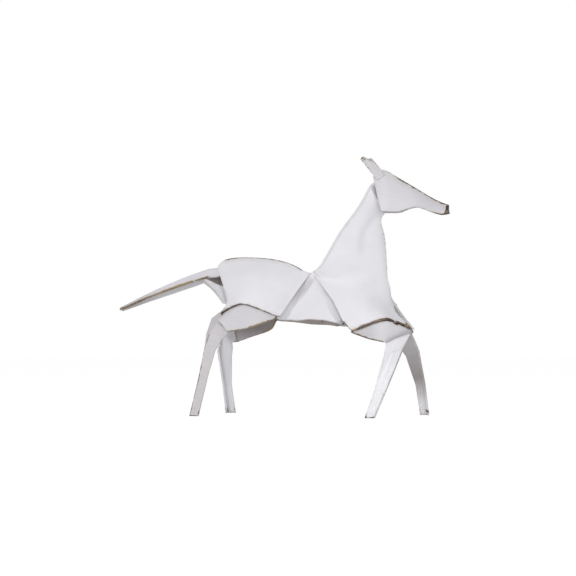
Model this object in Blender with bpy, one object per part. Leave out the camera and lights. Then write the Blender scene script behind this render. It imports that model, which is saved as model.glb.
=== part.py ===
# Walking horse of folded brass sheet.
# Every piece is one bent sheet. Neighbours lap: the covered sheet is tucked in by one
# sheet thickness and the seam gap, so a change of sheet moves both sides of a seam.
# Points are (x, y, z) in millimetres: x forward, y minus on the horse's right side, z up.
# All forms are drawn for the right side and turned over for the left.
import bpy
import bmesh
import numpy as np

for item in list(bpy.data.objects):
    bpy.data.objects.remove(item, do_unlink=True)

MILLIMETRE = 0.001
DRAWING_ORIGIN = np.array([-3.6, 0.0, 1.7])   # the point that becomes the origin, on the floor

# Sheet and seams
SHEET = 1.6                # thickness of the brass sheet
SEAM_GAP = 0.3             # clearance that the solder fills between two sheets
LAP = 4.0                  # length of a tucked edge
LAP_SLACK = 0.4            # extra room where a leg is set into a bent limb panel
LAP_STEP = SHEET + SEAM_GAP
OVERRUN = 1.0              # how far an edge on the middle plane runs past it before the mitre

# Half widths from the middle plane
RUMP_HALF = 20.0
FLANK_HALF = 17.0
BELLY_HALF = 13.0
SHOULDER_HALF = 17.0
NECK_HALF = 5.2
CREST_HALF = 5.5
BRISKET_HALF = 7.0
CHEEK_HALF = 9.5
MUZZLE_HALF = 4.5
STANCE_HALF = 33.0

# Heights that several pieces share
BACK_HEIGHT = 128.2
WITHERS_HEIGHT = BACK_HEIGHT - 12.8
DOCK_HEIGHT = BACK_HEIGHT - 6.6
BUTTOCK_HEIGHT = 82.5
BELLY_HEIGHT = 78.0
HEM_DROP = 3.5             # inward hem under the belly gusset

CREST_BAND = 4.0           # width of the bent band along the mane
FLANGE = 6.5               # return flange of a leg channel

# Side view of the back, from dock to withers
DOCK = (-56.5, 0.0, DOCK_HEIGHT)
WITHERS = (21.2, 0.0, WITHERS_HEIGHT)
BACK_LINE = [
    DOCK,
    (-51.4, 0.0, BACK_HEIGHT - 1.9),
    (-41.6, 0.0, BACK_HEIGHT),
    (-27.4, 0.0, BACK_HEIGHT),
    (-11.6, 0.0, BACK_HEIGHT - 1.3),
    (0.5, 0.0, BACK_HEIGHT - 3.9),
    (9.1, 0.0, BACK_HEIGHT - 7.3),
    (16.0, 0.0, BACK_HEIGHT - 11.3),
    WITHERS,
]

# Rump panel, rear edge below the dock and the arched lower edge
BUTTOCK = (-48.5, -RUMP_HALF + 1.5, BUTTOCK_HEIGHT)
REAR_HEIGHT = DOCK_HEIGHT - BUTTOCK_HEIGHT
FLANK = (0.0, -FLANK_HALF, BELLY_HEIGHT + 2.0)
RUMP_REAR = [
    DOCK,
    (-49.7, -0.5 * RUMP_HALF, BUTTOCK_HEIGHT + 0.647 * REAR_HEIGHT),
    (-45.6, -0.66 * RUMP_HALF, BUTTOCK_HEIGHT + 0.44 * REAR_HEIGHT),
    (-43.4, -0.82 * RUMP_HALF, BUTTOCK_HEIGHT + 0.25 * REAR_HEIGHT),
    BUTTOCK,
]
RUMP_FRONT = [
    WITHERS,
    (12.0, -0.57 * FLANK_HALF, WITHERS_HEIGHT - 15.4),
    FLANK,
]
RUMP_ARCH = [
    BUTTOCK,
    (-40.0, -RUMP_HALF + 0.3, 87.3),
    (-30.1, -RUMP_HALF, 90.1),
    (-18.0, -RUMP_HALF + 0.5, 86.6),
    (-6.0, -RUMP_HALF + 1.8, 81.9),
    FLANK,
]

# Neck and shoulder: crest and rear edge, fullest line, throat and chest edge.
# The first two rows lie under the head and are taken from the head itself.
CREST_EDGE = [
    (69.8, 0.0, 184.6),
    (59.6, 0.0, 167.2),
    (44.7, 0.0, 147.5),
    (29.5, 0.0, WITHERS_HEIGHT + 6.7),
    (22.0, 0.0, WITHERS_HEIGHT + 0.5),
    (28.2, -5.4, WITHERS_HEIGHT - 6.4),
    (42.0, -12.0, 92.4),
    (51.4, -SHOULDER_HALF + 1.0, 75.3),
    (58.1, -SHOULDER_HALF, 68.5),
]
NECK_LINE = [
    (75.4, -NECK_HALF - 0.4, 172.0),
    (70.0, -NECK_HALF + 1.0, 159.5),
    (64.5, -NECK_HALF + 0.6, 143.5),
    (60.0, -NECK_HALF + 0.4, 121.5),
    (58.5, -NECK_HALF, 113.0),
    (62.0, -NECK_HALF - 0.6, 104.5),
    (69.0, -0.5 * SHOULDER_HALF, 93.0),
    (78.0, -0.7 * SHOULDER_HALF, 83.5),
    (85.4, -0.82 * SHOULDER_HALF, 77.3),
]
CHEST_EDGE = [
    (79.4, 0.0, 158.6),
    (78.5, 0.0, 153.8),
    (81.7, 0.0, 141.5),
    (83.4, 0.0, 121.0),
    (84.0, 0.0, 110.3),
    (86.1, 0.0, 102.5),
    (88.8, 0.0, 91.4),
    (95.5, -4.2, 80.5),
    (103.5, -BRISKET_HALF, 70.5),
]
THROAT_ROWS = [(85.0, 0.0, 163.8), (80.8, 0.0, 161.0)]
CREST_ROWS = 7             # rows of the neck that reach the middle plane behind

# Belly gusset
GUSSET_TOP = (22.4, -1.6, WITHERS_HEIGHT - 4.4)
GUSSET_REAR = (4.5, -BELLY_HALF + 3.0, BELLY_HEIGHT + 0.2)
GUSSET_FRONT = (44.5, -BELLY_HALF - 3.8, BELLY_HEIGHT - 1.6)
GUSSET_TONGUE = 2.6        # rise of the gusset's tip between rump and neck
GUSSET_SHADOW = 2.6        # extra depth of the gusset just under the shoulder edge

# Head: fold along the forehead and nose, lower edge of the cheek
HEAD_FOLD = [
    (71.8, 0.0, 190.8),
    (79.8, 0.0, 196.2),
    (91.8, 0.0, 189.5),
    (106.1, 0.0, 180.8),
    (116.2, 0.0, 174.3),
    (125.0, 0.0, 169.6),
    (130.8, 0.0, 167.0),
]
HEAD_JAW = [
    (79.8, -CHEEK_HALF, 162.5),
    (86.0, -CHEEK_HALF, 162.3),
    (94.0, -CHEEK_HALF + 0.8, 162.0),
    (106.8, -MUZZLE_HALF - 2.6, 165.6),
    (118.5, -MUZZLE_HALF - 1.2, 161.9),
    (126.0, -MUZZLE_HALF - 0.4, 159.8),
    (132.2, -MUZZLE_HALF, 160.6),
]
CHEEK_ROUNDNESS = 1.5      # 1 gives flat cheeks
RIDGE_DROP = 1.2           # how far the neck ridge stays below the fold of the head

# Ears: (rear edge, middle, front edge) at the root, the widest place and the tip
EAR_ROOT = [(76.2, -2.2, 186.6), (79.0, -2.8, 189.0), (81.8, -2.0, 191.6)]
EAR_WIDE = [(68.6, -6.2, 196.8), (72.0, -7.8, 199.0), (74.6, -6.0, 200.4)]
RIGHT_EAR_TIP = [(63.2, -8.2, 204.0), (64.3, -9.0, 205.2), (65.6, -8.2, 206.0)]
LEFT_EAR_TIP = [(66.2, -8.2, 205.0), (67.6, -9.0, 206.2), (69.2, -8.2, 206.4)]

# Tail stations: x, fold height, right flange drop, left flange drop, half spread per drop
TAIL_STATIONS = [
    (DOCK[0] + 8.5, DOCK[2] - 1.0, 6.2, 5.6, 0.62),
    (DOCK[0] - 0.5, DOCK[2] - 3.0, 6.3, 5.2, 0.66),
    (DOCK[0] - 6.0, DOCK[2] - 2.2, 6.6, 7.2, 0.66),
    (-71.0, 117.3, 6.6, 9.0, 0.72),
    (-88.0, 111.4, 5.8, 8.6, 0.72),
    (-104.2, 104.9, 4.6, 7.2, 0.80),
    (-118.0, 98.8, 3.4, 5.4, 0.95),
    (-130.0, 93.0, 2.5, 3.6, 1.25),
    (-139.4, 88.6, 1.6, 2.2, 1.70),
]

# Dock gusset: fold behind, from under the tail to the buttocks. Its seams take these
# shares of the rump's rear edge, and the left side runs higher than the right
DOCK_FOLD = [
    (-69.5, 0.0, DOCK_HEIGHT - 13.0),
    (-60.3, 0.0, DOCK_HEIGHT - 20.2),
    (-51.8, 0.0, BUTTOCK_HEIGHT + 8.5),
]
RIGHT_DOCK_SEAM = (0.45, 0.80)
LEFT_DOCK_SEAM = (0.24, 0.80)

# Lower edges of thighs and arms: the first part of a thigh edge and the last part of an
# arm edge is the crease where the leg is tucked in
RIGHT_THIGH_EDGE = [
    (-50.4, -RUMP_HALF + 0.5, 77.6),
    (-46.0, -RUMP_HALF - 0.2, 73.0),
    (-41.3, -RUMP_HALF - 0.8, 68.3),
    (-31.5, -RUMP_HALF - 0.4, 69.8),
    (-21.6, -RUMP_HALF, 71.8),
    (-12.5, -RUMP_HALF + 1.2, 75.0),
    (-4.2, -RUMP_HALF + 3.6, 77.8),
]
LEFT_THIGH_EDGE = [
    (-51.5, -RUMP_HALF + 0.5, 76.0),
    (-50.4, -RUMP_HALF - 0.8, 68.0),
    (-48.7, -RUMP_HALF - 1.8, 59.9),
    (-33.0, -RUMP_HALF - 1.0, 64.4),
    (-18.0, -RUMP_HALF, 69.2),
    (-11.5, -RUMP_HALF + 1.6, 74.2),
    (-4.2, -RUMP_HALF + 3.6, 77.8),
]
RIGHT_ARM_EDGE = [
    (58.8, -SHOULDER_HALF + 0.9, 67.2),
    (69.0, -SHOULDER_HALF + 0.3, 63.2),
    (77.0, -SHOULDER_HALF, 61.2),
    (84.9, -SHOULDER_HALF, 60.0),
    (91.0, -SHOULDER_HALF + 3.2, 62.6),
    (97.0, -SHOULDER_HALF + 6.4, 65.2),
    (103.2, -BRISKET_HALF + 0.8, 67.4),
]
LEFT_ARM_EDGE = [
    (58.8, -SHOULDER_HALF + 0.9, 67.2),
    (70.5, -SHOULDER_HALF + 0.3, 63.2),
    (80.0, -SHOULDER_HALF, 61.2),
    (89.0, -SHOULDER_HALF, 60.0),
    (94.0, -SHOULDER_HALF + 3.2, 62.8),
    (98.6, -SHOULDER_HALF + 6.4, 65.2),
    (103.2, -BRISKET_HALF + 0.8, 67.4),
]
HOCK_COLUMNS = 2           # spans of the thigh edge, from behind, that carry the leg
ARM_FREE_COLUMNS = 3       # spans of the arm edge, from behind, before the knee crease

# Legs: (fold edge, free edge, flange edge) at each station below the crease
RIGHT_HIND = [
    [(-56.6, -21.6, 66.5), (-46.6, -22.0, 61.6), (-60.4, -17.2, 67.2)],
    [(-60.2, -23.6, 54.5), (-51.0, -23.6, 54.0), (-61.6, -17.4, 54.8)],
    [(-63.4, -27.0, 34.0), (-56.0, -27.2, 34.0), (-63.2, -20.6, 34.0)],
    [(-70.0, -STANCE_HALF, 0.0), (-62.6, -STANCE_HALF, 0.0), (-68.4, -STANCE_HALF + FLANGE, 0.0)],
]
LEFT_HIND = [
    [(-59.0, -21.6, 65.5), (-49.6, -22.8, 55.6), (-59.6, -16.4, 66.0)],
    [(-62.8, -23.2, 52.5), (-50.9, -24.0, 48.0), (-61.6, -17.0, 52.8)],
    [(-60.6, -28.0, 27.0), (-52.2, -28.4, 25.0), (-58.8, -21.6, 27.0)],
    [(-59.0, -STANCE_HALF, 0.0), (-49.8, -STANCE_HALF, 0.0), (-56.8, -STANCE_HALF + FLANGE, 0.0)],
]
RIGHT_FORE = [
    [(97.4, -14.4, 54.8), (83.6, -19.8, 49.6), (97.2, -8.4, 54.4)],
    [(87.4, -25.6, 26.0), (77.8, -25.8, 24.5), (87.4, -19.2, 26.2)],
    [(77.2, -STANCE_HALF, 0.0), (70.4, -STANCE_HALF, 0.0), (77.4, -STANCE_HALF + FLANGE, 0.0)],
]
LEFT_FORE = [
    [(106.4, -13.0, 53.0), (94.6, -21.0, 49.6), (107.2, -7.2, 52.8)],
    [(109.2, -23.0, 27.0), (101.6, -27.0, 26.0), (110.4, -16.8, 27.2)],
    [(111.0, -STANCE_HALF, 0.0), (104.2, -STANCE_HALF, 0.0), (112.2, -STANCE_HALF + FLANGE, 0.0)],
]
# return flange of a leg, at its tucked head and at the crease, seen from the fold edge
HOCK_FLANGE = [(3.0, 6.0, 8.5), (-5.6, 3.8, 3.2)]
KNEE_FLANGE = [(-1.0, 1.68, -0.6), (-1.2, 2.8, -1.0)]
EDGE_CLEARANCE = 0.8       # a tucked leg runs this far past the edge before it bends
SOLE_OVERRUN = 4.0         # length below the floor that is cut off flat

WHITE_ENAMEL = (0.78, 0.77, 0.80, 1.0)
OUT_RIGHT = np.array([0.0, -1.0, 0.0])
OUT_UP = np.array([0.0, 0.0, 1.0])
OUT_REAR = np.array([-1.0, 0.0, 0.0])
TURN_OVER = np.array([1.0, -1.0, 1.0])


def spline(points, per_span):
    # smooth line through every point
    line = np.array(points, float)
    padded = np.vstack([2 * line[0] - line[1], line, 2 * line[-1] - line[-2]])
    result = []
    for index in range(len(line) - 1):
        before, start, end, after = padded[index:index + 4]
        for step in range(per_span):
            u = step / per_span
            square = (2 * before - 5 * start + 4 * end - after) * u * u
            cube = (3 * start - before - 3 * end + after) * u ** 3
            result.append(0.5 * (2 * start + (end - before) * u + square + cube))
    result.append(line[-1])
    return np.array(result)


def resample(points, count):
    # the same line with evenly spaced points
    line = np.array(points, float)
    steps = np.linalg.norm(np.diff(line, axis=0), axis=1)
    run = np.concatenate([[0.0], np.cumsum(steps)])
    wanted = np.linspace(0.0, run[-1], count)
    return np.stack([np.interp(wanted, run, line[:, axis]) for axis in range(3)], axis=1)


def stretch(points, shares, count):
    # the part of a line between two shares of its length
    fine = resample(points, 201)
    first, last = [int(round(200 * share)) for share in shares]
    return resample(fine[first:last + 1], count)


def patch(top, bottom, rear, front):
    # surface that meets four edge lines
    down = np.linspace(0.0, 1.0, len(rear))[:, None, None]
    along = np.linspace(0.0, 1.0, len(top))[None, :, None]
    between_rows = (1 - down) * top[None] + down * bottom[None]
    between_columns = (1 - along) * rear[:, None] + along * front[:, None]
    top_corners = (1 - along) * top[0] + along * top[-1]
    bottom_corners = (1 - along) * bottom[0] + along * bottom[-1]
    return between_rows + between_columns - (1 - down) * top_corners - down * bottom_corners


def face_normals(grid, outside):
    along = np.gradient(grid, axis=1)
    down = np.gradient(grid, axis=0)
    normal = np.cross(along, down)
    normal /= np.linalg.norm(normal, axis=2, keepdims=True)
    if (normal @ outside).sum() < 0:
        normal = -normal
    return normal


def tucked(grid, outside, depth):
    # the surface that lies under another sheet
    return grid - face_normals(grid, outside) * depth


def past_middle(edge, inner):
    # carries an edge that lies on the middle plane past it, for a clean mitre
    reach = OVERRUN / np.maximum(-inner[:, 1], 0.5)
    on_middle = np.abs(edge[:, 1]) < 0.01
    return np.where(on_middle[:, None], edge + (edge - inner) * reach[:, None], edge)


def lap_rows(surface):
    # the tucked head of a sheet: a row under the cover and a row just past its lower edge
    normal = face_normals(surface, OUT_RIGHT)[-1]
    edge = surface[-1] - normal * (LAP_STEP + LAP_SLACK)
    inward = np.cross(normal, np.gradient(edge, axis=0))
    inward /= np.linalg.norm(inward, axis=1, keepdims=True)
    room = np.sum((surface[1] - surface[-1]) * inward, axis=1, keepdims=True)
    inward *= np.sign(room)
    return edge + inward * np.minimum(LAP, 0.8 * np.abs(room)), edge - inward * EDGE_CLEARANCE


def new_object(name, mesh):
    item = bpy.data.objects.new(name, mesh)
    bpy.context.scene.collection.objects.link(item)
    return item


def box_cutter(name, low, high):
    mesh = bpy.data.meshes.new(name)
    form = bmesh.new()
    bmesh.ops.create_cube(form, size=1.0)
    low = np.array(low) * MILLIMETRE
    high = np.array(high) * MILLIMETRE
    for vert in form.verts:
        vert.co = (np.array(vert.co) + 0.5) * (high - low) + low
    form.to_mesh(mesh)
    form.free()
    item = new_object(name, mesh)
    item.hide_render = True
    item.display_type = "WIRE"
    return item


def surface_form(grid, outside):
    form = bmesh.new()
    verts = [[form.verts.new((point - DRAWING_ORIGIN) * MILLIMETRE) for point in row] for row in grid]
    for i in range(len(grid) - 1):
        for j in range(len(grid[0]) - 1):
            form.faces.new((verts[i][j], verts[i][j + 1], verts[i + 1][j + 1], verts[i + 1][j]))
    form.normal_update()
    facing = sum(np.array(face.normal) @ outside * face.calc_area() for face in form.faces)
    if facing < 0:
        bmesh.ops.reverse_faces(form, faces=form.faces)
    return form, verts


def sheet_piece(name, grid, outside, cutters):
    form, verts = surface_form(grid, outside)
    mesh = bpy.data.meshes.new(name)
    form.to_mesh(mesh)
    form.free()
    piece = new_object(name, mesh)
    sheet = piece.modifiers.new("sheet", "SOLIDIFY")
    sheet.thickness = SHEET * MILLIMETRE
    sheet.offset = -1.0
    sheet.use_even_offset = True
    for cutter in cutters:
        cut = piece.modifiers.new("trim", "BOOLEAN")
        cut.operation = "DIFFERENCE"
        cut.solver = "EXACT"
        cut.object = cutter
    enamel = bpy.data.materials.new(name + "_enamel")
    enamel.use_nodes = True
    shader = enamel.node_tree.nodes["Principled BSDF"]
    shader.inputs["Base Color"].default_value = WHITE_ENAMEL
    shader.inputs["Roughness"].default_value = 0.5
    mesh.materials.append(enamel)
    return piece


def both_sides(name, grid, outside, right_cutters, left_cutters):
    sheet_piece("right_" + name, grid, outside, right_cutters)
    sheet_piece("left_" + name, grid * TURN_OVER, outside * TURN_OVER, left_cutters)


REACH = 300.0
past_middle_right = box_cutter("past_middle_right", (-REACH, -SEAM_GAP / 2, -REACH), (REACH, REACH, REACH))
past_middle_left = box_cutter("past_middle_left", (-REACH, -REACH, -REACH), (REACH, SEAM_GAP / 2, REACH))
below_floor = box_cutter("below_floor", (-REACH, -REACH, -REACH), (REACH, REACH, 0.0))

# Rump panels
COLUMNS = 25
ROWS = 12
rump_top = resample(spline(BACK_LINE, 4), COLUMNS)
rump_low = resample(spline(RUMP_ARCH, 4), COLUMNS)
rump_rear = resample(spline(RUMP_REAR, 4), ROWS)
rump_front = resample(spline(RUMP_FRONT, 4), ROWS)
rump = patch(rump_top, rump_low, rump_rear, rump_front)
rump_under = tucked(rump, OUT_RIGHT, LAP_STEP)
rump_cut = rump.copy()
rump_cut[0] = past_middle(rump[0], rump[1])
both_sides("rump_panel", rump_cut, OUT_RIGHT, [past_middle_right], [past_middle_left])

# Head: rows from fold to jaw on the right side, then the whole saddle
fold_line = spline(HEAD_FOLD, 2)
jaw_line = spline(HEAD_JAW, 2)
cheek_rows = []
for share in (0.0, 0.2, 0.45, 0.7, 1.0):
    row = fold_line * (1 - share) + jaw_line * share
    row[:, 1] = jaw_line[:, 1] * (1 - (1 - share) ** CHEEK_ROUNDNESS)
    cheek_rows.append(row)
cheek = np.array(cheek_rows)
saddle = np.concatenate([cheek[::-1], cheek[1:] * TURN_OVER])
sheet_piece("head_shell", saddle, OUT_UP, [])

# Neck rows under the cheek: they follow the cheek down to its fullest part
cheek_under = tucked(cheek, OUT_RIGHT, LAP_STEP)
neck_crest = []
neck_band = []
neck_full = []
for column in (2, 0):
    upper = cheek_under[1, column]
    middle = cheek_under[2, column]
    ridge = upper + (upper - middle) * upper[1] / (middle[1] - upper[1])
    neck_crest.append(ridge * (1, 0, 1) - OUT_UP * RIDGE_DROP)
    neck_band.append(upper)
    neck_full.append(cheek_under[3, column])
crest_rail = np.array(neck_crest + [np.array(point) for point in CREST_EDGE])
full_rail = np.array(neck_full + [np.array(point) for point in NECK_LINE])
chest_rail = np.array(THROAT_ROWS + CHEST_EDGE)
band_rail = []
for index, (crest, full) in enumerate(zip(crest_rail, full_rail)):
    inward = full - crest
    point = crest + inward * CREST_BAND / np.linalg.norm(inward)
    if index < CREST_ROWS:
        point[1] = -CREST_HALF
    band_rail.append(point)
band_rail[0] = neck_band[0]
band_rail[1] = neck_band[1]


ROWS_UNDER_HEAD = 2
UPPER_ROWS = [0, 3, 6] + list(range(7, 3 * (CREST_ROWS - 1) + 1))


def neck_rail(points):
    # one smooth run down the neck and one down the shoulder, with a corner at the withers
    upper = spline(points[:CREST_ROWS], 3)[UPPER_ROWS]
    lower = spline(points[CREST_ROWS - 1:], 3)
    return np.concatenate([upper, lower[1:]])


crest_run = neck_rail(crest_rail)
band_run = neck_rail(np.array(band_rail))
full_run = neck_rail(full_rail)
chest_run = neck_rail(chest_rail)
shoulder_rows = []
for index, (crest, band, full, chest) in enumerate(zip(crest_run, band_run, full_run, chest_run)):
    if index < ROWS_UNDER_HEAD:
        across = np.vstack([resample([band, full], 5), resample([full, chest], 5)[1:]])
    else:
        across = spline([band, full, chest], 4)
    shoulder_rows.append(np.vstack([crest, across]))
shoulder = np.array(shoulder_rows)
shoulder_under = tucked(shoulder, OUT_RIGHT, LAP_STEP)
shoulder_cut = shoulder.copy()
shoulder_cut[:, 0] = past_middle(shoulder[:, 0], shoulder[:, 1])
shoulder_cut[:, -1] = past_middle(shoulder[:, -1], shoulder[:, -2])
both_sides("neck_shoulder", shoulder_cut, OUT_RIGHT, [past_middle_right], [past_middle_left])

# Belly gussets, tucked under the rump in front and under the shoulder behind
GUSSET_ROWS = 9
shoulder_deeper = tucked(shoulder, OUT_RIGHT, LAP_STEP + 0.5 * LAP_SLACK)
WITHERS_ROW = len(UPPER_ROWS) - 1
rump_seam = resample(rump_under[1:, -1], GUSSET_ROWS)
rump_tuck = resample(rump_under[1:, -2], GUSSET_ROWS)
shadow_depth = np.linspace(0.3, 1.0, GUSSET_ROWS)[:, None] * GUSSET_SHADOW
shoulder_seam = resample(shoulder_deeper[WITHERS_ROW + 2:-4, 0], GUSSET_ROWS) - OUT_RIGHT * shadow_depth
shoulder_tuck = resample(shoulder_deeper[WITHERS_ROW + 2:-4, 1], GUSSET_ROWS)
taper = np.linspace(1.0, 0.6, GUSSET_ROWS)[:, None]
rump_tuck = rump_seam + (rump_tuck - rump_seam) * taper
gusset_rear = resample([GUSSET_TOP, GUSSET_REAR], GUSSET_ROWS)
gusset_front = resample([np.array(GUSSET_TOP) + (1.0, 0.0, 0.0), GUSSET_FRONT], GUSSET_ROWS)
gusset_middle = 0.5 * (gusset_rear + gusset_front)
gusset = np.stack([
    rump_tuck, rump_seam, gusset_rear, gusset_middle, gusset_front, shoulder_seam, shoulder_tuck,
], axis=1)
tongue = gusset[0].copy()
tongue_share = np.array([0.15, 0.2, 0.9, 1.0, 0.9, 0.2, 0.15])
tongue[:, 2] += GUSSET_TONGUE * tongue_share
tongue[:, :2] += 0.3 * GUSSET_TONGUE * tongue_share[:, None]
hem = gusset[-1].copy()
hem_share = np.array([0.3, 0.35, 0.5, 1.0, 0.9, 0.8, 0.7])
hem[:, 2] -= HEM_DROP * hem_share
hem[:, 1] += HEM_DROP * hem_share
gusset = np.concatenate([tongue[None], gusset, hem[None]])
both_sides("belly_gusset", gusset, OUT_RIGHT, [past_middle_right], [past_middle_left])

# Tail
tail_rows = []
for x, height, right_drop, left_drop, spread in TAIL_STATIONS:
    tail_rows.append([
        (x, -spread * right_drop, height - right_drop),
        (x, -0.5 * spread * right_drop, height - 0.5 * right_drop),
        (x, 0.0, height),
        (x, 0.5 * spread * left_drop, height - 0.5 * left_drop),
        (x, spread * left_drop, height - left_drop),
    ])
tail_columns = [spline(column, 3) for column in np.array(tail_rows).transpose(1, 0, 2)]
sheet_piece("tail", np.array(tail_columns), OUT_UP, [])

# Dock gusset, tucked under the rear edges of both rump panels
DOCK_ROWS = 7
dock_fold = resample(spline(DOCK_FOLD, 4), DOCK_ROWS)


def dock_side(shares):
    # from the tuck under the rump to the fold
    seam = stretch(rump_under[:, 0], shares, DOCK_ROWS)
    tuck = stretch(rump_under[:, 1], shares, DOCK_ROWS)
    return [tuck, seam, 0.5 * (dock_fold + seam)]


right_dock = dock_side(RIGHT_DOCK_SEAM)
left_dock = [line * TURN_OVER for line in dock_side(LEFT_DOCK_SEAM)]
dock = np.stack(right_dock + [dock_fold] + left_dock[::-1], axis=1)
sheet_piece("dock_gusset", dock, OUT_REAR, [])


def limb_panel(cover_tuck, cover_edge, edge_line, columns):
    # thigh or arm: tucked under the panel above, then down to its own lower edge
    lower = spline(edge_line, (columns - 1) // (len(edge_line) - 1))
    upper = resample(cover_tuck, columns)
    seam = resample(cover_edge, columns)
    down = seam - upper
    seam = seam + down / np.linalg.norm(down, axis=1, keepdims=True) * EDGE_CLEARANCE
    return np.array([upper, seam, 0.5 * (seam + lower), lower])


def leg_channel(surface, stations, crease_flange, fold_first):
    # tucked head under the limb panel, then a channel of two flanges down to the sole
    lap, crease = lap_rows(surface)
    lap = resample(lap, LEG_COLUMNS)
    crease = resample(crease, LEG_COLUMNS)
    if not fold_first:
        lap = lap[::-1]
        crease = crease[::-1]
    across = np.linspace(0.0, 1.0, LEG_COLUMNS)[:, None]
    folds = [lap[0], crease[0]]
    rows = [lap, crease]
    flanges = []
    for fold, free, flange in np.array(stations):
        rows.append(fold * (1 - across) + free * across)
        folds.append(fold)
        flanges.append(flange - fold)
    flange_steps = [np.array(step) for step in crease_flange] + flanges
    sole = rows[-1] + (rows[-1] - rows[-2]) * SOLE_OVERRUN / (rows[-2][:, 2:] - rows[-1][:, 2:])
    rows.append(sole)
    folds.append(sole[0])
    flange_steps.append(flanges[-1])
    grid = [np.vstack([fold + step, row]) for fold, step, row in zip(folds, flange_steps, rows)]
    return np.array(grid)


LIMB_COLUMNS = 19
LEG_COLUMNS = 3
EDGE_STEP = (LIMB_COLUMNS - 1) // (len(RIGHT_THIGH_EDGE) - 1)
THIGH_CREASE = round(HOCK_COLUMNS * EDGE_STEP) + 1
ARM_CREASE = round(ARM_FREE_COLUMNS * EDGE_STEP)
LEGS = [
    ("right", RIGHT_THIGH_EDGE, RIGHT_HIND, RIGHT_ARM_EDGE, RIGHT_FORE, past_middle_right, np.ones(3)),
    ("left", LEFT_THIGH_EDGE, LEFT_HIND, LEFT_ARM_EDGE, LEFT_FORE, past_middle_left, TURN_OVER),
]
for side, thigh_edge, hind, arm_edge, fore, middle_cutter, turn in LEGS:
    thigh = limb_panel(rump_under[-2, :-1], rump_under[-1, :-1], thigh_edge, LIMB_COLUMNS)
    sheet_piece(side + "_hind_thigh", thigh * turn, OUT_RIGHT * turn, [])
    hind_leg = leg_channel(thigh[:, :THIGH_CREASE], hind, HOCK_FLANGE, True)
    sheet_piece(side + "_hind_leg", hind_leg * turn, OUT_RIGHT * turn, [below_floor])
    arm = limb_panel(shoulder_under[-2, 1:], shoulder_under[-1, 1:], arm_edge, LIMB_COLUMNS)
    sheet_piece(side + "_fore_arm", arm * turn, OUT_RIGHT * turn, [])
    fore_leg = leg_channel(arm[:, ARM_CREASE:], fore, KNEE_FLANGE, False)
    sheet_piece(side + "_fore_leg", fore_leg * turn, OUT_RIGHT * turn, [below_floor, middle_cutter])

# Ears stand on the fold of the head: their roots are cut to its surface and the seam gap
form, verts = surface_form(tucked(saddle, OUT_UP, -SEAM_GAP), OUT_UP)
for column in (0, -1):
    form.faces.new([row[column] for row in verts])
for index in range(len(verts[0]) - 1):
    form.faces.new((verts[0][index], verts[0][index + 1], verts[-1][index + 1], verts[-1][index]))
bmesh.ops.recalc_face_normals(form, faces=form.faces)
head_mesh = bpy.data.meshes.new("head_envelope")
form.to_mesh(head_mesh)
form.free()
head_envelope = new_object("head_envelope", head_mesh)
head_envelope.hide_render = True
head_envelope.display_type = "WIRE"
for side, tip, turn in (("right", RIGHT_EAR_TIP, np.ones(3)), ("left", LEFT_EAR_TIP, TURN_OVER)):
    ear = np.array([spline(line, 3) for line in zip(EAR_ROOT, EAR_WIDE, tip)]).transpose(1, 0, 2)
    sheet_piece(side + "_ear", ear * turn, OUT_RIGHT * turn, [head_envelope])
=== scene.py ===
import bpy
import bmesh
import math
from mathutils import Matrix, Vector, kdtree, noise


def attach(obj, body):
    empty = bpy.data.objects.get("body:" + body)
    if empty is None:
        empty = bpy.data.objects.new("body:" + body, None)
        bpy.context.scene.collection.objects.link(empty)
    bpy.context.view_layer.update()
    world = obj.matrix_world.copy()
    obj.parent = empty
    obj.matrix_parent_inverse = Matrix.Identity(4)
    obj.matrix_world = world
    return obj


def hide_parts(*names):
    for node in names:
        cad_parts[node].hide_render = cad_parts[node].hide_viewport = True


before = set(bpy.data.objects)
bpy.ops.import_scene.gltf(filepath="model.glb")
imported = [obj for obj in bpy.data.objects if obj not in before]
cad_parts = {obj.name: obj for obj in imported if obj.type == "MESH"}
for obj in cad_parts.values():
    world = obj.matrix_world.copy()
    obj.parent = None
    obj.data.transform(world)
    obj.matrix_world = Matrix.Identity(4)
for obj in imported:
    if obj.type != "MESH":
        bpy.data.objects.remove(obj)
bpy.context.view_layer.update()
mm = 0.001
print("horse frame loaded:", len(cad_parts), "sheet pieces")

# the photograph's view
photoView = {
    "azimuth": 14.0,
    "elevation": -2.157,
    "distance": 1.2009,
    "target": (0.006074, 0.0, 0.1015),
    "lens": 93.82,
    "sensor": 36.0,
    "nearest": 0.01,
}


def placeCamera(view):
    turn = math.radians(view["azimuth"])
    tilt = math.radians(view["elevation"])
    flatReach = math.cos(tilt)
    away = Vector((math.sin(turn) * flatReach, -math.cos(turn) * flatReach, math.sin(tilt)))
    lensData = bpy.data.cameras.new("photoCamera")
    lensData.lens = view["lens"]
    lensData.sensor_width = view["sensor"]
    lensData.sensor_fit = "HORIZONTAL"
    lensData.clip_start = view["nearest"]
    camera = bpy.data.objects.new("photoCamera", lensData)
    camera.location = Vector(view["target"]) + away * view["distance"]
    camera.rotation_euler = (-away).to_track_quat("-Z", "Y").to_euler()
    bpy.context.scene.collection.objects.link(camera)
    bpy.context.scene.camera = camera


placeCamera(photoView)
print("camera placed")

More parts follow.
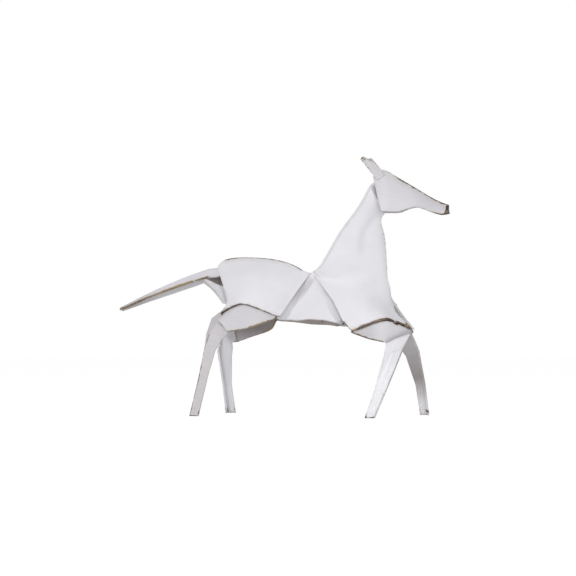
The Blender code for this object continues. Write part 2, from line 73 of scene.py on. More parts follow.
# white enamel with the brass rubbed through
enamelLook = {
    "paint": (0.90, 0.895, 0.935),
    "paintShade": (0.85, 0.845, 0.88),
    # greyed paint, for soiling together with painted shade on parts turned from the light or lying under
    # others
    "soilShade": (0.525, 0.50, 0.53),
    "grime": (0.60, 0.565, 0.53),
    # the dark inner colour: painted shade on the sheets' insides and on faces turned from the light, over
    # a duller inner coat
    "inner": (0.28, 0.24, 0.225),
    "bare": (0.108, 0.071, 0.045),
    "bareDark": (0.036, 0.025, 0.019),
    # pale brass: painted glints on specks and along the shoulder's rubbed edge, and a paler brass tone
    # elsewhere
    "paleBrassAndGlintTone": (0.50, 0.37, 0.20),
    # textures: scale per metre, detail, roughness
    "ragged": (260.0, 4.0, 0.6),
    "cloudy": (38.0, 3.0, 0.55),
    "grain": (900.0, 2.0, 0.5),
    "brush": (300.0, 3.0, 0.6),
    "brushStretch": (0.25, 1.0, 1.6),
    # how far the rub's edge wanders in mm, and the stretch over which each effect sets in
    "noiseMiddle": 0.5,
    "wander": 2.4,
    "wornRange": (-0.15, 0.35),
    "grimeRange": (-2.2, 0.2),
    "grimeShare": (0.0, 0.5),
    "cloudRange": (0.35, 0.7),
    "brushRange": (0.25, 0.75),
    "brushShare": (0.95, 1.04),
    "dullRange": (0.42, 0.62),
    "glintRange": (0.62, 0.74),
    "metalShare": 0.25,
    "roughness": 0.26,
    "roughSpread": 0.2,
    "specular": 0.45,
    # relief of the paint skin
    "brushRelief": 0.45,
    "grainRelief": 0.2,
    "wornRelief": 0.6,
    "bumpStrength": 0.2,
    "bumpDepth": 0.3 * mm,
}

# nodes stand in columns, in the order in which they are made
nodeLayout = {
    "rows": 6,
    "across": 220,
    "down": -260,
}
# where a mix node keeps its colour sockets
mixSockets = {
    "factor": 0,
    "first": 6,
    "second": 7,
    "result": 2,
}


def addNode(tree, kind, **settings):
    column, row = divmod(len(tree.nodes), nodeLayout["rows"])
    made = tree.nodes.new(kind)
    made.location = (column * nodeLayout["across"], row * nodeLayout["down"])
    for name, value in settings.items():
        setattr(made, name, value)
    return made


def mathNode(tree, operation, first, second):
    made = addNode(tree, "ShaderNodeMath", operation=operation)
    for socket, value in zip(made.inputs, (first, second)):
        if isinstance(value, (int, float)):
            socket.default_value = value
        else:
            tree.links.new(value, socket)
    return made.outputs[0]


def noiseNode(tree, coords, texture):
    made = addNode(tree, "ShaderNodeTexNoise")
    for name, value in zip(("Scale", "Detail", "Roughness"), texture):
        made.inputs[name].default_value = value
    tree.links.new(coords, made.inputs["Vector"])
    return made.outputs["Fac"]


def rangeNode(tree, value, span, result=(0.0, 1.0)):
    made = addNode(tree, "ShaderNodeMapRange", interpolation_type="SMOOTHSTEP")
    for name, limit in zip(("From Min", "From Max", "To Min", "To Max"), span + result):
        made.inputs[name].default_value = limit
    tree.links.new(value, made.inputs["Value"])
    return made.outputs["Result"]


def mixColour(tree, factor, first, second):
    made = addNode(tree, "ShaderNodeMix", data_type="RGBA")
    tree.links.new(factor, made.inputs[mixSockets["factor"]])
    for name, value in (("first", first), ("second", second)):
        socket = made.inputs[mixSockets[name]]
        if isinstance(value, tuple):
            socket.default_value = value + (1.0,)
        else:
            tree.links.new(value, socket)
    return made.outputs[mixSockets["result"]]


def enamelMaterial(look):
    paint = bpy.data.materials.new("whiteEnamelOnBrass")
    paint.use_nodes = True
    tree = paint.node_tree
    shader = tree.nodes["Principled BSDF"]
    coords = addNode(tree, "ShaderNodeTexCoord").outputs["Object"]
    marks = {}
    for name in ("rubReach", "innerSide", "soilShadeAll", "paleBrassAndGlint"):
        marks[name] = addNode(tree, "ShaderNodeAttribute", attribute_name=name).outputs["Fac"]
    ragged = noiseNode(tree, coords, look["ragged"])
    cloudy = noiseNode(tree, coords, look["cloudy"])
    grain = noiseNode(tree, coords, look["grain"])
    stretched = addNode(tree, "ShaderNodeMapping")
    stretched.inputs["Scale"].default_value = look["brushStretch"]
    tree.links.new(coords, stretched.inputs["Vector"])
    brush = noiseNode(tree, stretched.outputs["Vector"], look["brush"])
    # worn where the rub reaches past a ragged line
    wander = mathNode(tree, "SUBTRACT", ragged, look["noiseMiddle"])
    wander = mathNode(tree, "MULTIPLY", wander, look["wander"])
    rub = mathNode(tree, "ADD", marks["rubReach"], wander)
    worn = rangeNode(tree, rub, look["wornRange"])
    edgeGrime = rangeNode(tree, rub, look["grimeRange"], look["grimeShare"])
    clouds = rangeNode(tree, cloudy, look["cloudRange"])
    patchy = rangeNode(tree, brush, look["brushRange"], look["brushShare"])
    # greying by soiling and painted shade, broken up by the brush strokes
    soilShadeAmount = mathNode(tree, "MULTIPLY", marks["soilShadeAll"], patchy)
    paintTone = mixColour(tree, clouds, look["paint"], look["paintShade"])
    paintTone = mixColour(tree, soilShadeAmount, paintTone, look["soilShade"])
    paintTone = mixColour(tree, edgeGrime, paintTone, look["grime"])
    # painted shade in the dark inner colour
    paintTone = mixColour(tree, marks["innerSide"], paintTone, look["inner"])
    dullness = rangeNode(tree, ragged, look["dullRange"])
    bareTone = mixColour(tree, dullness, look["bareDark"], look["bare"])
    # painted glints: pale brass on random specks and at the glint spots
    glint = rangeNode(tree, grain, look["glintRange"])
    glint = mathNode(tree, "MAXIMUM", glint, marks["paleBrassAndGlint"])
    bareTone = mixColour(tree, glint, bareTone, look["paleBrassAndGlintTone"])
    tone = mixColour(tree, worn, paintTone, bareTone)
    tree.links.new(tone, shader.inputs["Base Color"])
    metal = mathNode(tree, "MULTIPLY", worn, look["metalShare"])
    tree.links.new(metal, shader.inputs["Metallic"])
    rough = mathNode(tree, "MULTIPLY", ragged, look["roughSpread"])
    rough = mathNode(tree, "ADD", rough, look["roughness"])
    tree.links.new(rough, shader.inputs["Roughness"])
    shader.inputs["Specular IOR Level"].default_value = look["specular"]
    # brushed paint skin, with a step down where it has rubbed away
    strokes = mathNode(tree, "MULTIPLY", brush, look["brushRelief"])
    specks = mathNode(tree, "MULTIPLY", grain, look["grainRelief"])
    lost = mathNode(tree, "MULTIPLY", worn, look["wornRelief"])
    skin = mathNode(tree, "SUBTRACT", mathNode(tree, "ADD", strokes, specks), lost)
    bump = addNode(tree, "ShaderNodeBump")
    bump.inputs["Strength"].default_value = look["bumpStrength"]
    bump.inputs["Distance"].default_value = look["bumpDepth"]
    tree.links.new(skin, bump.inputs["Height"])
    tree.links.new(bump.outputs["Normal"], shader.inputs["Normal"])
    return paint


enamel = enamelMaterial(enamelLook)
print("enamel mixed")

# how every sheet is finished
sheetFinish = {
    "sheet": 1.6 * mm,
    "rimAllowance": 1.35,
    "mergeReaches": (0.25 * mm, 0.02 * mm),   # the second is for sheets that the first tears
    "sliver": 0.02 * mm,
    "sharpTurn": math.radians(30),
    "heldTurn": math.radians(14),
    "creaseTurn": math.radians(40),
    "edgeRadius": 0.25 * mm,
    "edgeSegments": 2,
    "longestEdge": 2.0 * mm,
    "splitPasses": 7,
    "smoothPasses": 10,
    "smoothShare": 0.5,
    # rubs along the edges: spacing, unevenness in mm, uneven patches per metre, widest reach in mm
    "rubStep": 0.8 * mm,
    "rubUneven": 0.4,
    "rubPatch": 60.0,
    "rubLimit": 6.0,
    # how far a face must turn to the hollow before it takes the dark inner colour, painted shade over a
    # duller inner coat
    "insideFrom": 0.05,
    "insideSpan": 0.3,
    "bareFrom": 0.4,
    # a hem is drawn on the outer side, as painted shade in the dark inner colour and as rub, with this
    # slope and these limits of rub
    "hemInside": 0.5,
    "hemSlope": 2.0,
    "hemRub": (-0.9, -0.25),
    # slow waviness of hand-bent sheet, the same for every piece so that seams stay closed
    "waveSeed": 7,
    "waveDepth": 0.40 * mm,
    "waveLength": 34 * mm,
    "waveAlong": 0.25,
    "footFade": 20 * mm,
}
noise.seed_set(sheetFinish["waveSeed"])


def clamp(value):
    return min(1.0, max(0.0, value))


def flatSpot(point):
    # the place in side view, in mm
    return Vector((point.x / mm, point.z / mm))


def foldedSpot(point):
    # the place in mm, with y counted from the middle
    return Vector((point.x / mm, abs(point.y) / mm, point.z / mm))


def handFormed(point):
    fade = clamp(point.z / sheetFinish["footFade"])
    slow = noise.noise_vector(point / sheetFinish["waveLength"])
    along = sheetFinish["waveAlong"]
    return Vector((along * slow.x, slow.y, along * slow.z)) * sheetFinish["waveDepth"] * fade


def lineDistance(flat, line):
    gaps = []
    for first, second in zip(line, line[1:]):
        start = Vector(first)
        run = Vector(second) - start
        share = clamp((flat - start).dot(run) / run.length_squared)
        gaps.append((flat - start - run * share).length)
    return min(gaps)


def lineDepth(point, lines):
    flat = flatSpot(point)
    total = 0.0
    for groove in lines:
        away = lineDistance(flat, groove["line"]) / groove["width"]
        total += groove["depth"] * math.exp(-away * away)
    return total


def stepDepth(point, step):
    flat = flatSpot(point)
    line = step["line"]
    for upper, lower in zip(line, line[1:]):
        if flat.y >= lower[1]:
            break
    share = (flat.y - lower[1]) / (upper[1] - lower[1])
    past = flat.x - (lower[0] + (upper[0] - lower[0]) * share)
    within = min(flat.y - line[-1][1], line[0][1] + step["endFade"] - flat.y) / step["endFade"]
    rise = clamp(0.5 + 0.5 * past / step["width"])
    fade = clamp(within) * clamp(abs(point.y) / mm / step["middleFade"])
    return step["depth"] * fade * rise * rise * (3.0 - 2.0 * rise)


def pulledBy(point, pulls):
    moved = Vector((0.0, 0.0, 0.0))
    for place, radius, shift in pulls:
        away = (point / mm - Vector(place)).length / radius
        moved += Vector(shift) * mm * math.exp(-away * away)
    return moved


def bothSides(pulls):
    return pulls + [((x, -y, z), radius, shift) for (x, y, z), radius, shift in pulls]


def cleanCopy(node):
    for reach in sheetFinish["mergeReaches"]:
        mesh = bmesh.new()
        mesh.from_mesh(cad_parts[node].data)
        bmesh.ops.remove_doubles(mesh, verts=mesh.verts, dist=reach)
        bmesh.ops.dissolve_degenerate(mesh, edges=mesh.edges, dist=sheetFinish["sliver"])
        bmesh.ops.triangulate(mesh, faces=mesh.faces)
        if all(len(e.link_faces) == 2 for e in mesh.edges):
            return mesh
        mesh.free()
    raise RuntimeError(node + " is not a closed sheet")


def edgesPast(mesh, turn):
    return [e for e in mesh.edges if e.calc_face_angle(0.0) > turn]


def isRimFace(face, sharpVerts):
    if not all(v in sharpVerts for v in face.verts):
        return False
    longest = max(e.calc_length() for e in face.edges)
    height = 2.0 * face.calc_area() / longest
    return height < sheetFinish["sheet"] * sheetFinish["rimAllowance"]


def inBox(point, low, high):
    return all(a <= c <= b for a, c, b in zip(low, foldedSpot(point), high))


def rubOf(look, point, onRim):
    if look.get("cleanLeft") and point.y > 0:
        return look["fold"]
    for low, high, reach in look.get("rimRubs" if onRim else "foldRubs", []):
        if inBox(point, low, high):
            return reach
    return look["rim"] if onRim else look["fold"]


def rubPoints(sharp, look):
    sharpVerts = {v for e in sharp for v in e.verts}
    rubs = []
    for edge in sharp:
        onRim = any(isRimFace(f, sharpVerts) for f in edge.link_faces)
        steps = max(1, int(edge.calc_length() / sheetFinish["rubStep"]))
        for step in range(steps + 1):
            point = edge.verts[0].co.lerp(edge.verts[1].co, step / steps)
            uneven = sheetFinish["rubUneven"] * noise.noise(point * sheetFinish["rubPatch"])
            rubs.append((point, rubOf(look, point, onRim) + uneven))
    return rubs


def splitLongEdges(mesh):
    for splitPass in range(sheetFinish["splitPasses"]):
        longEdges = [e for e in mesh.edges if e.calc_length() > sheetFinish["longestEdge"]]
        if not longEdges:
            break
        bmesh.ops.subdivide_edges(mesh, edges=longEdges, cuts=1)
        bmesh.ops.triangulate(mesh, faces=mesh.faces)


def smoothFacets(mesh):
    held = {v for e in edgesPast(mesh, sheetFinish["heldTurn"]) for v in e.verts}
    free = [v for v in mesh.verts if v not in held]
    for smoothPass in range(sheetFinish["smoothPasses"]):
        bmesh.ops.smooth_vert(mesh, verts=free, factor=sheetFinish["smoothShare"],
                              use_axis_x=True, use_axis_y=True, use_axis_z=True)


# for a point of the sheet, the way to the hollow that it wraps; for a leg the way runs across and a
# little forward, so that the front flange, turned from the light, also takes the painted shade
hollowLean = {
    "below": -4 * mm,
    "front": 6 * mm,
    "leg": 0.35,
}
hollowAim = {
    "middle": lambda p: Vector((0.0, -p.y, 0.0)),
    "below": lambda p: Vector((0.0, -p.y, hollowLean["below"])),
    "front": lambda p: Vector((hollowLean["front"], -p.y, 0.0)),
    "leg": lambda p: Vector((hollowLean["leg"], -math.copysign(1.0, p.y), 0.0)),
}


def insideShare(vert, hollow):
    toHollow = hollowAim[hollow](vert.co)
    if toHollow.length == 0:
        return 0.0
    facing = vert.normal.dot(toHollow.normalized())
    return clamp((facing - sheetFinish["insideFrom"]) / sheetFinish["insideSpan"])


def rampAt(level, ramp):
    for (low, lowValue), (high, highValue) in zip(ramp, ramp[1:]):
        if level <= high:
            break
    return lowValue + (highValue - lowValue) * clamp((level - low) / (high - low))


def spotShare(point, spots):
    share = 0.0
    for place, radius, strength in spots:
        away = (foldedSpot(point) - Vector(place)).length / radius
        share += strength * math.exp(-away * away)
    return share


def bandShare(point, bands):
    flat = flatSpot(point)
    share = 0.0
    for band in bands:
        within = clamp(band["reach"] - lineDistance(flat, band["seam"]))
        share = max(share, band["strength"] * within * rampAt(flat.y, band["rise"]))
    return share


def nearestRub(point, finder, rubs):
    limit = sheetFinish["rubLimit"]
    reach = -limit
    for place, index, distance in finder.find_range(point, limit * mm):
        reach = max(reach, rubs[index][1] - distance / mm)
    return reach


def paintMarks(mesh, rubs, look):
    finder = kdtree.KDTree(len(rubs))
    for index, (point, reach) in enumerate(rubs):
        finder.insert(point, index)
    finder.balance()
    layers = mesh.verts.layers.float
    reachLayer = layers.new("rubReach")
    innerLayer = layers.new("innerSide")
    soilShadeLayer = layers.new("soilShadeAll")
    paleBrassAndGlintLayer = layers.new("paleBrassAndGlint")
    hemLow, hemHigh = sheetFinish["hemRub"]
    mesh.normal_update()
    for vert in mesh.verts:
        reach = nearestRub(vert.co, finder, rubs)
        inside = insideShare(vert, look["hollow"])
        # painted shade in the dark inner colour, set by height
        darkInside = inside * rampAt(vert.co.z / mm, look["innerShade"])
        if "hem" in look and inside < sheetFinish["hemInside"]:
            below = sheetFinish["hemSlope"] * (rampAt(vert.co.x / mm, look["hem"]) - vert.co.z / mm)
            darkInside = min(1.0, max(darkInside, below))
            reach = max(reach, min(hemHigh, below + hemLow))
        for low, high, bareness in look.get("bareInside", []):
            if inside > sheetFinish["bareFrom"] and inBox(vert.co, low, high):
                reach = bareness
        # greying by soiling and painted shade: the piece's amount, its spots, and the painted shade lines
        # and bands
        soilShade = look["soilShadeAll"] + spotShare(vert.co, look.get("soilShadeSpots", []))
        soilShade += lineDepth(vert.co, look.get("paintedShadeLines", []))
        soilShade += bandShare(vert.co, look.get("paintedShadeBands", []))
        vert[reachLayer] = reach
        vert[innerLayer] = darkInside
        vert[soilShadeLayer] = min(1.0, soilShade)
        vert[paleBrassAndGlintLayer] = min(1.0, spotShare(vert.co, look.get("paleBrassAndGlintSpots", [])))


def bendByHand(mesh, look):
    for vert in mesh.verts:
        pressed = lineDepth(vert.co, look.get("dents", []))
        if "step" in look:
            pressed += stepDepth(vert.co, look["step"])
        moved = handFormed(vert.co) + pulledBy(vert.co, look.get("pulls", []))
        moved.y -= math.copysign(pressed * mm, vert.co.y)
        vert.co += moved


def formSheet(node, look):
    mesh = cleanCopy(node)
    sharp = edgesPast(mesh, sheetFinish["sharpTurn"])
    rubs = rubPoints(sharp, look)
    bmesh.ops.bevel(mesh, geom=sharp, offset=sheetFinish["edgeRadius"], offset_type="OFFSET",
                    segments=sheetFinish["edgeSegments"], profile=0.5, affect="EDGES", clamp_overlap=True)
    bmesh.ops.triangulate(mesh, faces=mesh.faces)
    splitLongEdges(mesh)
    smoothFacets(mesh)
    paintMarks(mesh, rubs, look)
    bendByHand(mesh, look)
    data = bpy.data.meshes.new(node + "Sheet")
    mesh.to_mesh(data)
    mesh.free()
    data.shade_smooth()
    data.set_sharp_from_angle(angle=sheetFinish["creaseTurn"])
    data.materials.append(enamel)
    sheet = bpy.data.objects.new(node + "Sheet", data)
    bpy.context.scene.collection.objects.link(sheet)
    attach(sheet, "root")
    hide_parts(node)
    print(node, "formed:", len(data.polygons), "faces")


def formPair(name, look):
    for side in ("right_", "left_"):
        formSheet(side + name, look)


# The looks below are in mm, with y counted from the middle except in pulls.
# rim and fold: how far the brass shows from a cut edge and from a bend
# rimRubs, foldRubs: boxes (low corner, high corner, reach) that set stretches apart, the first that fits
# bareInside: such boxes on the inner side
# soilShadeAll: greying all over, soiling with painted shade; soilShadeSpots and paleBrassAndGlintSpots:
# (place, radius, strength)
# paintedShadeLines, dents: lines in side view; pulls: (place, radius, shift)
# innerShade: strength of the dark inner colour at rising heights, painted shade over a duller inner coat
evenInnerShade = ((0, 0.82), (100, 0.82))
headLook = {
    "rim": -0.25,
    "fold": -0.8,
    "rimRubs": [((134.6, 0, 150), (140, 9, 175), 2.2), ((132, 0, 150), (140, 9, 175), 0.6)],
    "foldRubs": [((118, 0, 150), (140, 9, 200), 1.3), ((96, 0, 150), (140, 9, 200), 1.1),
                 ((84, 0, 150), (96, 9, 200), 0.3)],
    "hollow": "below",
    # faint painted shade on the inside, along the jaw
    "innerShade": ((0, 0.1), (200, 0.1)),
    "bareInside": [((124, 0, 150), (140, 9, 175), 1.5)],
    # the muzzle's end stands upright and the left jaw is a little higher than the right
    "pulls": [
        ((134.5, 0, 165), 3.5, (1.2, 0.0, 0.0)),
        ((136, 0, 158), 3.5, (-0.8, 0.0, 0.0)),
        ((104, 8, 163), 9.0, (0.0, 0.0, 1.3)),
    ],
    # greyed with soiling and painted shade, more towards the muzzle
    "soilShadeAll": 0.56,
    "soilShadeSpots": [((128, 4, 163), 22, 0.12)],
}
formSheet("head_shell", headLook)

earLook = {
    "rim": -0.4,
    "fold": -1.2,
    "rimRubs": [
        ((60, 0, 200), (80, 12, 210), 0.7),
        ((60, 0, 190), (75, 12, 200), 0.6),
        ((60, 0, 180), (90, 12, 191), -1.6),
    ],
    "hollow": "middle",
    "paleBrassAndGlintSpots": [((69, 5, 204), 5, 0.4)],
    "innerShade": ((0, 0.4), (200, 0.4)),
    "soilShadeAll": 0.47,
}
formSheet("right_ear", earLook)
formSheet("left_ear", earLook | {"rimRubs": [((60, 0, 180), (90, 12, 210), -1.2)]})

neckLook = {
    "rim": -1.2,
    "fold": -1.6,
    "rimRubs": [
        ((15, 0, 100), (36, 8, 130), -2.0),
        ((54, 8, 66), (61, 22, 74.0), 0.9),
        ((28, 8, 72), (60, 22, 112), -2.2),
        ((97.5, 0, 66), (120, 5.4, 90), -0.9),
        ((97.5, 0, 72.3), (120, 7.6, 90), -0.9),
        ((91, 9, 72), (97.5, 13.5, 75.2), 0.6),
        ((60, 3, 60), (120, 20, 79), 1.7),
        ((78, 0, 78), (105, 9, 150), 0.05),
    ],
    # painted glints of pale brass along the shoulder's rubbed lower edge
    "paleBrassAndGlintSpots": [
        ((63, 16.5, 69.0), 2.2, 0.9),
        ((103.5, 6.8, 70.8), 1.6, 0.9),
        ((81, 15, 76.5), 1.4, 0.7),
    ],
    "hollow": "middle",
    # painted shade on the inside, strong low down and faint near the head
    "innerShade": ((95, 0.82), (135, 0.1)),
    "soilShadeAll": 0.24,
    "soilShadeSpots": [((90, 8, 140), 16, 0.12)],
    # painted shadow below the head's rear edge, and painted shade down the neck's front where it turns
    # towards the chest
    "paintedShadeLines": [
        {"line": [(77.5, 186.0), (84.5, 163.0)], "width": 3.0, "depth": 1.0},
        {"line": [(84.5, 160.0), (88.5, 112.0), (93.5, 90.0)], "width": 4.0, "depth": 0.45},
    ],
    # the hand-pressed step under the jaw: the front of the neck lies deeper than the rest
    "step": {
        "line": [(81.5, 161.5), (75.5, 155.5), (70.5, 148.0), (67.5, 140.0), (67.0, 122.0)],
        "width": 4.0,
        "depth": 1.3,
        "endFade": 10.0,
        "middleFade": 5.0,
    },
    "dents": [
        # hollows along the step and behind the head, then the creases across the shoulder
        {"line": [(80.5, 160.5), (75.5, 155.5), (70.5, 148.0), (67.5, 140.0), (67.0, 131.0)],
         "width": 3.5, "depth": 0.5},
        {"line": [(77.5, 186.0), (84.5, 163.0)], "width": 3.0, "depth": 1.8},
        {"line": [(26.0, 111.0), (46.0, 111.0), (62.0, 111.4)], "width": 7.0, "depth": 0.8},
        {"line": [(56.0, 93.0), (70.0, 97.0), (84.0, 106.0)], "width": 7.0, "depth": 0.35},
    ],
}
# the front edge stands back, so that the left shoulder shows past it
formSheet("right_neck_shoulder", neckLook | {"pulls": [((97.5, -2.5, 82), 9.0, (-3.0, 0.0, 0.0))]})
# the left shoulder keeps its paint on the front corner; the strip of its inside that shows past the right
# one's front edge gets painted shade
formSheet("left_neck_shoulder", neckLook | {
    "rimRubs": [((92, 0, 60), (120, 20, 100), -1.2)] + neckLook["rimRubs"],
    "paleBrassAndGlintSpots": [],
    "innerShade": ((72, 0.0), (84, 0.4), (92, 0.4), (95, 0.0)),
    "soilShadeAll": 0.12,
})

rumpLook = {
    "rim": -0.9,
    "fold": -1.6,
    "rimRubs": [
        ((4, 5, 76), (32, 22, 113), -2.2),
        ((-60, 8, 85.5), (-38.5, 22, 112), -0.35),
        ((-46, 0, 115), (18, 3, 130), 0.8),
        ((-60, 10, 70), (4, 22, 92.5), 0.6),
    ],
    "hollow": "middle",
    "innerShade": evenInnerShade,
    "soilShadeAll": 0.28,
}
formPair("rump_panel", rumpLook)

gussetLook = {
    "rim": -1.2,
    "fold": -1.6,
    "rimRubs": [((0, 0, 60), (42, 20, 75.5), 0.4), ((42, 0, 60), (60, 20, 75.5), -0.6)],
    # painted shade on the sunk margins, up to the top of the triangle
    "paintedShadeBands": [
        {"seam": [(3.9, 77.5), (27.5, 111.0)], "reach": 3.8, "strength": 0.53,
         "rise": ((86, 0.0), (98, 1.0), (106, 1.0), (110, 0.0))},
        {"seam": [(28.5, 111.0), (55.0, 74.5)], "reach": 4.2, "strength": 0.09,
         "rise": ((84, 0.0), (94, 1.0), (106, 1.0), (110, 0.0))},
    ],
    # the tip is lifted to close the saddle, and the hem's ends are drawn out to shoulder and thigh
    "pulls": [((26.5, 0, 112), 5.0, (-0.6, 0.0, 2.2))] + bothSides([
        ((51, 12, 74), 6.0, (2.4, 0.0, -1.8)),
        ((5, 12, 77), 4.5, (-3.2, 0.0, -1.2)),
    ]),
    # the hem lies below these heights, given along the body: painted shade in the dark inner colour on
    # the down-turned hem, with the brass rubbing through
    "hem": ((3, 78.0), (8, 76.4), (16, 75.2), (27, 76.6), (38, 75.8), (52, 73.6)),
    "hollow": "middle",
    "innerShade": ((0, 0.33), (100, 0.33)),
    "soilShadeAll": 0.27,
}
formPair("belly_gusset", gussetLook)

tailLook = {
    "rim": 0.9,
    "fold": -1.2,
    "cleanLeft": True,   # the rubbed edge is the right one
    "rimRubs": [
        ((-100, -1, 80), (-74, 9, 120), 1.3),
        ((-74, -1, 80), (-60, 9, 125), 0.75),
        ((-140, -1, 80), (-122, 9, 100), 0.9),
        ((-60, -1, 80), (-40, 9, 125), 0.2),
    ],
    "paleBrassAndGlintSpots": [((-80, 5, 107), 14, 0.6), ((-104, 5, 98), 14, 0.5), ((-130, 4, 88), 12, 0.3)],
    "hollow": "below",
    "innerShade": ((90, 0.15), (105, 0.05)),
    # the root rises to the croup
    "pulls": [((-51, 0, 117), 6.0, (0.0, 0.0, 2.0))],
    "soilShadeAll": 0.50,
    "soilShadeSpots": [((-131, 3, 90), 18, 0.6)],
}
formSheet("tail", tailLook)

dockLook = {
    "rim": -0.3,
    "fold": -0.5,
    "hollow": "front",
    # painted shade on the inside, seen through the hole under the tail
    "innerShade": ((0, 1.0), (100, 1.0)),
    # painted shade along the rump's edge and along the rear bend
    "paintedShadeLines": [
        {"line": [(-49.5, 106.0), (-45.5, 100.0), (-42.5, 89.0)], "width": 1.6, "depth": 0.9},
        {"line": [(-64.0, 107.0), (-55.0, 98.5), (-47.0, 87.5)], "width": 1.3, "depth": 1.0},
    ],
    # the far wall is lifted to meet the tail
    "pulls": [((-53, 2.0, 109), 6.0, (0.0, 0.0, 2.2))],
    "soilShadeAll": 0.26,
}
formSheet("dock_gusset", dockLook)

thighLook = {
    "rim": 0.8,
    "fold": -1.6,
    "rimRubs": [((-52, 10, 66), (-38, 25, 80), -0.2), ((-20, 8, 55), (10, 25, 80), 1.4)],
    "paleBrassAndGlintSpots": [((-14, 15, 66), 16, 0.5), ((-34, 16, 61), 12, 0.3)],
    # the left one's front tip stands back
    "pulls": [((-3, 15.3, 75.5), 6.0, (-4.5, 0.0, 0.5))],
    "hollow": "middle",
    # painted shade on the inside, deeper higher up under the body; the outside is greyed with soiling and
    # painted shade
    "innerShade": ((60, 0.24), (65, 0.54), (69, 0.84)),
    "soilShadeAll": 0.74,
}
formPair("hind_thigh", thighLook)

hindLegLook = {
    "rim": -0.2,
    "fold": 0.6,
    "rimRubs": [((-80, 0, -1), (-40, 40, 4), 0.6)],
    "foldRubs": [((-80, 0, -1), (-40, 40, 40), 0.8)],
    "paleBrassAndGlintSpots": [((-54, 20, 60), 25, 0.3)],
    "hollow": "leg",
    "innerShade": ((0, 0.0), (60, 0.05)),
    "soilShadeAll": 0.88,
}
formSheet("right_hind_leg", hindLegLook)
formSheet("left_hind_leg", hindLegLook | {
    "soilShadeAll": 0.0,
    # painted shade at the top of the leg, under the thigh
    "soilShadeSpots": [((-46, 17.5, 63.5), 6, 0.95)],
    "rim": -1.2,
    "fold": -1.2,
    "foldRubs": [],
})

armLook = {
    "rim": 0.9,
    "fold": -1.6,
    "rimRubs": [((88, 0, 55), (120, 25, 72), -1.0)],
    "paleBrassAndGlintSpots": [((60, 17, 66), 3, 0.6)],
    "hollow": "middle",
    "innerShade": evenInnerShade,
    "soilShadeAll": 0.52,
    # pressed in where the sheet meets the lower leg, with painted shade along that crease
    "paintedShadeLines": [{"line": [(91.0, 59.0), (108.0, 68.0)], "width": 1.8, "depth": 0.8}],
    "dents": [{"line": [(91.0, 57.5), (108.0, 66.5)], "width": 3.0, "depth": 1.6}],
    # greyed with soiling and painted shade on the arm's rear, under the shoulder's edge
    "soilShadeSpots": [((72, 16, 63), 10, 0.5)],
    # the rear tips reach back under the shoulder
    "pulls": bothSides([((65, 16, 66.5), 4.0, (-3.2, 0.0, 1.0))]),
}
formPair("fore_arm", armLook)

foreLegLook = {
    "rim": -0.3,
    "fold": -0.3,
    "rimRubs": [((60, 0, -1), (130, 40, 4), 0.6)],
    "foldRubs": [((60, 0, -1), (130, 40, 20), 0.1)],
    "paleBrassAndGlintSpots": [((112, 29, 1), 3, 0.6)],
    "hollow": "leg",
    # painted shade on the inside and on the front flange: none at the foot, darkest at mid height,
    # lighter towards the top
    "innerShade": ((8, 0.0), (30, 0.85), (58, 0.40)),
    "soilShadeAll": 0.0,
}
formSheet("right_fore_leg", foreLegLook)
formSheet("left_fore_leg", foreLegLook | {"fold": -0.6, "foldRubs": []})

# floor and light
studioLook = {
    "floor": (0.95, 0.95, 0.95),
    "floorHalf": 6.0,
    "floorDrop": 0.2 * mm,
    "floorGlow": 1.03,
    "floorRoughness": 0.9,
    "floorSpecular": 0.1,
    "shadowShare": 0.06,
    "worldLevel": 0.40,
    "white": (1.0, 1.0, 1.0, 1.0),
    "keyPlace": (-0.30, -1.23, 0.66),
    "keyPower": 5.6,
    "backPlace": (0.2, 1.2, 0.9),
    "backPower": 4.0,
    "overheadPlace": (0.1, -0.95, 1.1),
    "overheadPower": 2.2,
    "fillPlace": (0.25, -1.1, 0.06),
    "fillPower": 1.9,
    "lampSize": 0.7,
    "lampAim": (0.0, 0.0, 0.1),
}


def seenRays(tree):
    # 1 for rays that show the studio itself, straight or mirrored, and 0 for light that it casts
    rays = addNode(tree, "ShaderNodeLightPath").outputs
    seen = mathNode(tree, "MAXIMUM", rays["Is Camera Ray"], rays["Is Glossy Ray"])
    return mathNode(tree, "MAXIMUM", seen, rays["Is Transmission Ray"])


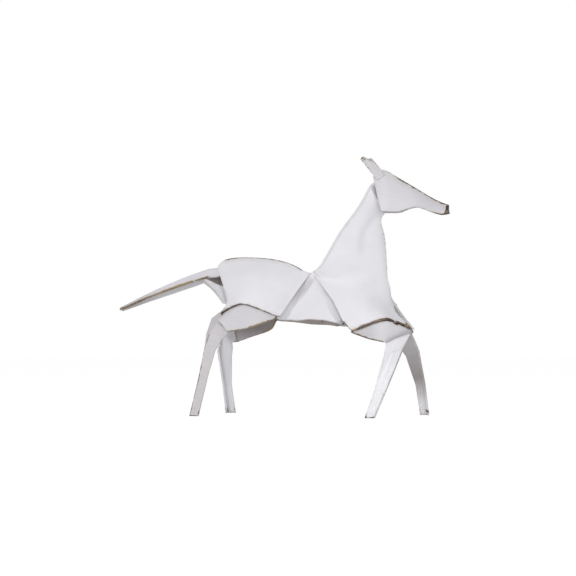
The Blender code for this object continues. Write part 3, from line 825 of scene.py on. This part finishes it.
def paperMaterial(look):
    paper = bpy.data.materials.new("studioPaper")
    paper.use_nodes = True
    tree = paper.node_tree
    shader = tree.nodes["Principled BSDF"]
    shader.inputs["Base Color"].default_value = look["floor"] + (1.0,)
    shader.inputs["Roughness"].default_value = look["floorRoughness"]
    shader.inputs["Specular IOR Level"].default_value = look["floorSpecular"]
    share = mathNode(tree, "MULTIPLY", seenRays(tree), 1.0 - look["shadowShare"])
    glow = addNode(tree, "ShaderNodeEmission")
    glow.inputs["Color"].default_value = look["white"]
    glow.inputs["Strength"].default_value = look["floorGlow"]
    mixed = addNode(tree, "ShaderNodeMixShader")
    tree.links.new(share, mixed.inputs[0])
    tree.links.new(shader.outputs[0], mixed.inputs[1])
    tree.links.new(glow.outputs[0], mixed.inputs[2])
    tree.links.new(mixed.outputs[0], tree.nodes["Material Output"].inputs["Surface"])
    return paper


def makeFloor(look):
    half = look["floorHalf"]
    corners = [(-half, -half, 0), (half, -half, 0), (half, half, 0), (-half, half, 0)]
    data = bpy.data.meshes.new("studioFloor")
    data.from_pydata(corners, [], [(0, 1, 2, 3)])
    data.materials.append(paperMaterial(look))
    floor = bpy.data.objects.new("studioFloor", data)
    floor.location.z = -look["floorDrop"]
    bpy.context.scene.collection.objects.link(floor)


def makeWorld(look):
    world = bpy.data.worlds.new("studioWorld")
    bpy.context.scene.world = world
    world.use_nodes = True
    tree = world.node_tree
    back = tree.nodes["Background"]
    back.inputs["Color"].default_value = look["white"]
    level = rangeNode(tree, seenRays(tree), (0.0, 1.0), (look["worldLevel"], 1.0))
    tree.links.new(level, back.inputs["Strength"])


def softLamp(name, look):
    place = Vector(look[name + "Place"])
    lampData = bpy.data.lights.new(name + "Softbox", "AREA")
    lampData.shape = "SQUARE"
    lampData.size = look["lampSize"]
    lampData.energy = look[name + "Power"]
    lamp = bpy.data.objects.new(name + "Softbox", lampData)
    lamp.location = place
    lamp.rotation_euler = (Vector(look["lampAim"]) - place).to_track_quat("-Z", "Y").to_euler()
    bpy.context.scene.collection.objects.link(lamp)


makeFloor(studioLook)
makeWorld(studioLook)
for lampName in ("key", "back", "overhead", "fill"):
    softLamp(lampName, studioLook)
bpy.context.scene.view_settings.view_transform = "Standard"
print("studio set")
